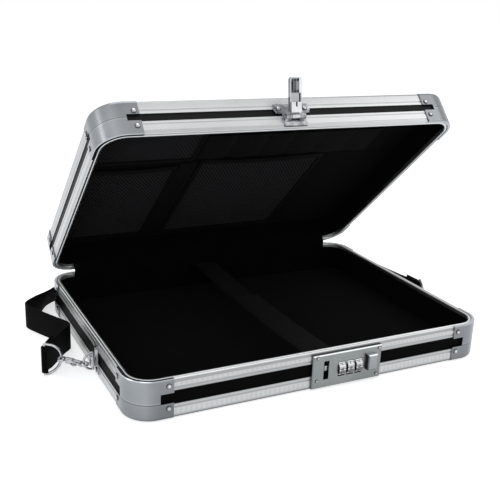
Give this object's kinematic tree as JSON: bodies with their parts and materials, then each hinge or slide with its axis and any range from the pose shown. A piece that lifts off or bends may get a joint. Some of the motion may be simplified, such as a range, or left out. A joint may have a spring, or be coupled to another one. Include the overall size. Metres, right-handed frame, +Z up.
{
  "type": "storage clipboard box",
  "caption": "Slim lockable clipboard case: two aluminium-framed shells hinged at the rear, hasp and three-dial lock, net pockets, document strap, shoulder strap and a clip on the lid",
  "frame": {"origin": "centre of the lower shell's underside, on the surface that the case stands on", "axes": "+X to the right along the front as the lock is faced, +Y from the front to the hinge, +Z up"},
  "size_m": [0.4375, 0.3231, 0.2681],
  "materials": {
    "rail_aluminium": "satin anodised, grooved",
    "corner_chrome": "pressed and plated",
    "bright_steel": "bright",
    "plated_metal": "plated, lightly satin",
    "dial_metal": "notched, plain digits",
    "black_panel": "fine pebble grain",
    "lining_cloth": "short pile",
    "webbing": "ribbed weave",
    "elastic_band": "knitted elastic",
    "net": "open net with a bound edge"
  },
  "bodies": {
    "base": {"base_panel": "black_panel", "base_wall": "black_panel", "base_lining": "lining_cloth", "base_face_rails": "rail_aluminium", "base_rim_rails": "rail_aluminium", "base_face_corners": "corner_chrome", "base_rim_corners": "corner_chrome", "base_rivets": "bright_steel", "hinge_base_leaf": "bright_steel", "hinge_pin": "bright_steel", "hinge_cover": "lining_cloth", "lock_plate": "plated_metal", "lock_rivets": "bright_steel", "lock_case": "bright_steel", "dial_axle": "bright_steel", "latch_spring": "bright_steel", "document_strap_front": "elastic_band", "document_strap_rear": "elastic_band", "strap_bracket_left": "plated_metal", "strap_bracket_right": "plated_metal", "swivel_eye_left": "plated_metal", "swivel_eye_right": "plated_metal", "strap_ring_left": "plated_metal", "strap_ring_right": "plated_metal", "strap_loop_left": "webbing", "strap_loop_right": "webbing", "shoulder_strap": "webbing"},
    "lid": {"lid_panel": "black_panel", "lid_wall": "black_panel", "lid_lining": "lining_cloth", "lid_face_rails": "rail_aluminium", "lid_rim_rails": "rail_aluminium", "lid_face_corners": "corner_chrome", "lid_rim_corners": "corner_chrome", "lid_rivets": "bright_steel", "hinge_lid_leaf": "bright_steel", "hasp_bracket": "plated_metal", "hasp_pin": "bright_steel", "clip_base": "plated_metal", "clip_pin": "bright_steel", "clip_spring": "bright_steel", "pocket_upper": "net", "pocket_lower": "net", "pocket_large": "net", "pen_loops": "elastic_band"},
    "hasp_arm": {"hasp_arm": "plated_metal"},
    "clip_lever": {"clip_lever": "plated_metal"},
    "dial_1": {"dial_1": "dial_metal"},
    "dial_2": {"dial_2": "dial_metal"},
    "dial_3": {"dial_3": "dial_metal"},
    "latch_button": {"latch_button": "plated_metal"},
    "latch_bolt": {"latch_bolt": "bright_steel"},
    "ring_left": {"ring_left": "plated_metal"},
    "ring_right": {"ring_right": "plated_metal"},
    "snap_hook_left": {"snap_hook_left": "plated_metal"},
    "snap_hook_right": {"snap_hook_right": "plated_metal"},
    "hook_bolt_left": {"hook_bolt_left": "plated_metal"},
    "hook_bolt_right": {"hook_bolt_right": "plated_metal"}
  },
  "joints": [
    {"name": "lid_hinge", "type": "hinge", "parent": "base", "child": "lid", "pos_m": [0, 0.1399, 0.03715], "axis": [-1, 0, 0], "range_deg": [-42.4, 57.6]},
    {"name": "hasp_hinge", "type": "hinge", "parent": "lid", "child": "hasp_arm", "pos_m": [-0.002, -0.06039, 0.23379], "axis": [-1, 0, 0], "range_deg": [-145, 20]},
    {"name": "clip_hinge", "type": "hinge", "parent": "lid", "child": "clip_lever", "pos_m": [-0.158, 0.063, 0.16041], "axis": [0, -0.7385, 0.6743], "range_deg": [0, 28], "stiffness_Nm_per_rad": 0.4, "springref_deg": -17.19},
    {"name": "dial_1_turn", "type": "hinge", "parent": "base", "child": "dial_1", "pos_m": [0.016, -0.1336, 0.017], "axis": [1, 0, 0], "continuous": true},
    {"name": "dial_2_turn", "type": "hinge", "parent": "base", "child": "dial_2", "pos_m": [0.0251, -0.1336, 0.017], "axis": [1, 0, 0], "continuous": true},
    {"name": "dial_3_turn", "type": "hinge", "parent": "base", "child": "dial_3", "pos_m": [0.0342, -0.1336, 0.017], "axis": [1, 0, 0], "continuous": true},
    {"name": "button_press", "type": "slide", "parent": "base", "child": "latch_button", "axis": [0, 1, 0], "range_m": [0, 0.0028], "stiffness_N_per_m": 500, "springref_m": -0.003},
    {"name": "bolt_slide", "type": "slide", "parent": "base", "child": "latch_bolt", "axis": [1, 0, 0], "range_m": [0, 0.0028]},
    {"name": "ring_left_swing", "type": "hinge", "parent": "base", "child": "ring_left", "pos_m": [-0.1869, -0.042, 0.0165], "axis": [0, 0, 1], "range_deg": [-8, 3.5]},
    {"name": "hook_left_swivel", "type": "hinge", "parent": "base", "child": "snap_hook_left", "pos_m": [-0.21089, -0.02446, 0.0145], "axis": [0.6691, -0.7431, 0], "range_deg": [-6, 10]},
    {"name": "hook_left_bolt_slide", "type": "slide", "parent": "snap_hook_left", "child": "hook_bolt_left", "axis": [-0.6691, 0.7431, 0], "range_m": [0, 0.003], "stiffness_N_per_m": 300, "springref_m": -0.003},
    {"name": "ring_right_swing", "type": "hinge", "parent": "base", "child": "ring_right", "pos_m": [0.1869, -0.042, 0.0165], "axis": [0, 0, 1], "range_deg": [-8, 8]},
    {"name": "hook_right_swivel", "type": "hinge", "parent": "base", "child": "snap_hook_right", "pos_m": [0.20121, -0.0192, 0.0145], "axis": [-0.2588, -0.9659, 0], "range_deg": [-10, 10]},
    {"name": "hook_right_bolt_slide", "type": "slide", "parent": "snap_hook_right", "child": "hook_bolt_right", "axis": [0.2588, 0.9659, 0], "range_m": [0, 0.003], "stiffness_N_per_m": 300, "springref_m": -0.003}
  ],
  "couplings": [
    {"joint": "bolt_slide", "follows": "button_press", "ratio": 1}
  ]
}
